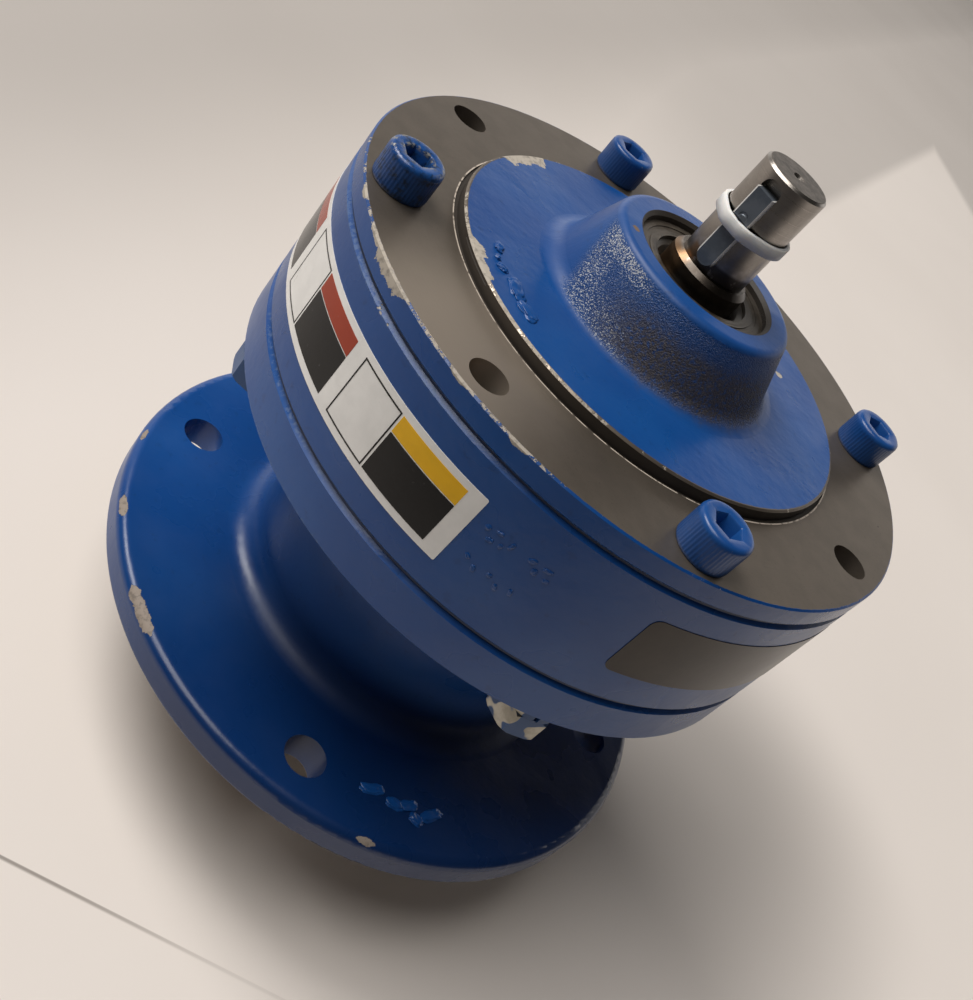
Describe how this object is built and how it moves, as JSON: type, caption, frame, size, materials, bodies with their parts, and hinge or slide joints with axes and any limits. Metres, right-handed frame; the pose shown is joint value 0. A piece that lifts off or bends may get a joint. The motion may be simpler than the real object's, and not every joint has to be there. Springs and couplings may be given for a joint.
{
  "type": "cycloidal reducer",
  "caption": "Flange-mounted cycloidal speed reducer with a keyed input shaft, a bolted three-part body and a coaxial output shaft below the mounting flange.",
  "frame": {"origin": "centre of the mounting flange's bolt circle, on its mounting face", "axes": "+Z along the two shafts towards the input end; the output shaft points to -Z; the input key lies at -71 degrees around +Z from +X at rest"},
  "size_m": [0.16, 0.16, 0.1955],
  "materials": {
    "blue_enamel": "deep royal-blue gloss enamel on cast iron",
    "ground_steel": "ground",
    "hardened_steel": "hardened and ground",
    "bearing_steel": "polished bearing steel",
    "cage_brass": "machined brass",
    "key_steel": "blued key steel",
    "spring_steel": "blackened spring steel",
    "zinc_plate": "zinc plated",
    "seal_rubber": "nitrile rubber, grey-brown",
    "gasket_paper": "fibre gasket",
    "nylon": "white nylon"
  },
  "bodies": {
    "casing": {"output_casing": "blue_enamel", "ring_gear_housing": "blue_enamel", "input_end_cover": "blue_enamel", "output_gasket": "gasket_paper", "input_gasket": "gasket_paper", "casing_screws": "blue_enamel", "casing_nuts": "zinc_plate", "spring_washers": "zinc_plate", "ring_pins": "hardened_steel", "input_oil_seal": "seal_rubber", "output_oil_seal": "seal_rubber", "input_bearing_outer_race": "bearing_steel", "neck_bearing_outer_race": "bearing_steel", "carrier_bearing_outer_race": "bearing_steel", "cover_snap_ring": "spring_steel", "casing_snap_ring": "spring_steel"},
    "input_shaft_group": {"input_shaft": "ground_steel", "input_key": "key_steel", "key_retaining_ring": "nylon", "eccentric_cam": "hardened_steel", "cam_key": "key_steel", "pilot_spacer": "ground_steel", "input_bearing_inner_race": "bearing_steel", "pilot_bearing_inner_race": "bearing_steel", "input_shaft_snap_ring": "spring_steel"},
    "disc_input_side": {"cycloid_disc_input_side": "hardened_steel"},
    "disc_output_side": {"cycloid_disc_output_side": "hardened_steel"},
    "cam_rollers_input_side": {"cam_rollers_input_side": "hardened_steel", "cam_cage_input_side": "cage_brass"},
    "cam_rollers_output_side": {"cam_rollers_output_side": "hardened_steel", "cam_cage_output_side": "cage_brass"},
    "output_shaft_group": {"output_shaft": "ground_steel", "carrier_pins": "hardened_steel", "disc_spacer_ring": "hardened_steel", "output_spacer_sleeve": "ground_steel", "output_key": "key_steel", "neck_bearing_inner_race": "bearing_steel", "carrier_bearing_inner_race": "bearing_steel", "pilot_bearing_outer_race": "bearing_steel", "output_shaft_snap_ring": "spring_steel"},
    "roller_1": {"carrier_roller_1": "hardened_steel"},
    "roller_2": {"carrier_roller_2": "hardened_steel"},
    "roller_3": {"carrier_roller_3": "hardened_steel"},
    "roller_4": {"carrier_roller_4": "hardened_steel"},
    "roller_5": {"carrier_roller_5": "hardened_steel"},
    "roller_6": {"carrier_roller_6": "hardened_steel"},
    "roller_7": {"carrier_roller_7": "hardened_steel"},
    "roller_8": {"carrier_roller_8": "hardened_steel"},
    "input_bearing_set": {"input_bearing_balls": "bearing_steel", "input_bearing_cage": "cage_brass"},
    "neck_bearing_set": {"neck_bearing_balls": "bearing_steel", "neck_bearing_cage": "cage_brass"},
    "carrier_bearing_set": {"carrier_bearing_balls": "bearing_steel", "carrier_bearing_cage": "cage_brass"},
    "pilot_bearing_set": {"pilot_bearing_balls": "bearing_steel", "pilot_bearing_cage": "cage_brass"}
  },
  "joints": [
    {"name": "input_spin", "type": "hinge", "parent": "casing", "child": "input_shaft_group", "pos_m": [0, 0, 0.147], "axis": [0, 0, 1], "continuous": true},
    {"name": "output_spin", "type": "hinge", "parent": "casing", "child": "output_shaft_group", "pos_m": [0, 0, -0.018], "axis": [0, 0, 1], "continuous": true},
    {"name": "disc_input_side_orbit", "type": "hinge", "parent": "input_shaft_group", "child": "disc_input_side", "pos_m": [0.0025, 0, 0.0965], "axis": [0, 0, 1], "continuous": true},
    {"name": "disc_output_side_orbit", "type": "hinge", "parent": "input_shaft_group", "child": "disc_output_side", "pos_m": [-0.0025, 0, 0.0865], "axis": [0, 0, 1], "continuous": true},
    {"name": "cam_rollers_input_side_spin", "type": "hinge", "parent": "input_shaft_group", "child": "cam_rollers_input_side", "pos_m": [0.0025, 0, 0.0965], "axis": [0, 0, 1], "continuous": true},
    {"name": "cam_rollers_output_side_spin", "type": "hinge", "parent": "input_shaft_group", "child": "cam_rollers_output_side", "pos_m": [-0.0025, 0, 0.0865], "axis": [0, 0, 1], "continuous": true},
    {"name": "roller_1_spin", "type": "hinge", "parent": "output_shaft_group", "child": "roller_1", "pos_m": [0.0325, 0, 0.0915], "axis": [0, 0, 1], "continuous": true},
    {"name": "roller_2_spin", "type": "hinge", "parent": "output_shaft_group", "child": "roller_2", "pos_m": [0.02298, 0.02298, 0.0915], "axis": [0, 0, 1], "continuous": true},
    {"name": "roller_3_spin", "type": "hinge", "parent": "output_shaft_group", "child": "roller_3", "pos_m": [0, 0.0325, 0.0915], "axis": [0, 0, 1], "continuous": true},
    {"name": "roller_4_spin", "type": "hinge", "parent": "output_shaft_group", "child": "roller_4", "pos_m": [-0.02298, 0.02298, 0.0915], "axis": [0, 0, 1], "continuous": true},
    {"name": "roller_5_spin", "type": "hinge", "parent": "output_shaft_group", "child": "roller_5", "pos_m": [-0.0325, 0, 0.0915], "axis": [0, 0, 1], "continuous": true},
    {"name": "roller_6_spin", "type": "hinge", "parent": "output_shaft_group", "child": "roller_6", "pos_m": [-0.02298, -0.02298, 0.0915], "axis": [0, 0, 1], "continuous": true},
    {"name": "roller_7_spin", "type": "hinge", "parent": "output_shaft_group", "child": "roller_7", "pos_m": [0, -0.0325, 0.0915], "axis": [0, 0, 1], "continuous": true},
    {"name": "roller_8_spin", "type": "hinge", "parent": "output_shaft_group", "child": "roller_8", "pos_m": [0.02298, -0.02298, 0.0915], "axis": [0, 0, 1], "continuous": true},
    {"name": "input_bearing_set_spin", "type": "hinge", "parent": "casing", "child": "input_bearing_set", "pos_m": [0, 0, 0.1165], "axis": [0, 0, 1], "continuous": true},
    {"name": "neck_bearing_set_spin", "type": "hinge", "parent": "casing", "child": "neck_bearing_set", "pos_m": [0, 0, 0.016], "axis": [0, 0, 1], "continuous": true},
    {"name": "carrier_bearing_set_spin", "type": "hinge", "parent": "casing", "child": "carrier_bearing_set", "pos_m": [0, 0, 0.0545], "axis": [0, 0, 1], "continuous": true},
    {"name": "pilot_bearing_set_spin", "type": "hinge", "parent": "output_shaft_group", "child": "pilot_bearing_set", "pos_m": [0, 0, 0.0745], "axis": [0, 0, 1], "continuous": true}
  ],
  "couplings": [
    {"joint": "output_spin", "follows": "input_spin", "ratio": -0.090909},
    {"joint": "disc_input_side_orbit", "follows": "input_spin", "ratio": -1.0909},
    {"joint": "disc_output_side_orbit", "follows": "input_spin", "ratio": -1.0909},
    {"joint": "cam_rollers_input_side_spin", "follows": "input_spin", "ratio": -0.62937},
    {"joint": "cam_rollers_output_side_spin", "follows": "input_spin", "ratio": -0.62937},
    {"joint": "roller_1_spin", "follows": "input_spin", "ratio": -0.54545},
    {"joint": "roller_2_spin", "follows": "input_spin", "ratio": -0.54545},
    {"joint": "roller_3_spin", "follows": "input_spin", "ratio": -0.54545},
    {"joint": "roller_4_spin", "follows": "input_spin", "ratio": -0.54545},
    {"joint": "roller_5_spin", "follows": "input_spin", "ratio": -0.54545},
    {"joint": "roller_6_spin", "follows": "input_spin", "ratio": -0.54545},
    {"joint": "roller_7_spin", "follows": "input_spin", "ratio": -0.54545},
    {"joint": "roller_8_spin", "follows": "input_spin", "ratio": -0.54545},
    {"joint": "input_bearing_set_spin", "follows": "input_spin", "ratio": 0.39758},
    {"joint": "neck_bearing_set_spin", "follows": "input_spin", "ratio": -0.036067},
    {"joint": "carrier_bearing_set_spin", "follows": "input_spin", "ratio": -0.038721},
    {"joint": "pilot_bearing_set_spin", "follows": "input_spin", "ratio": 0.43497}
  ]
}
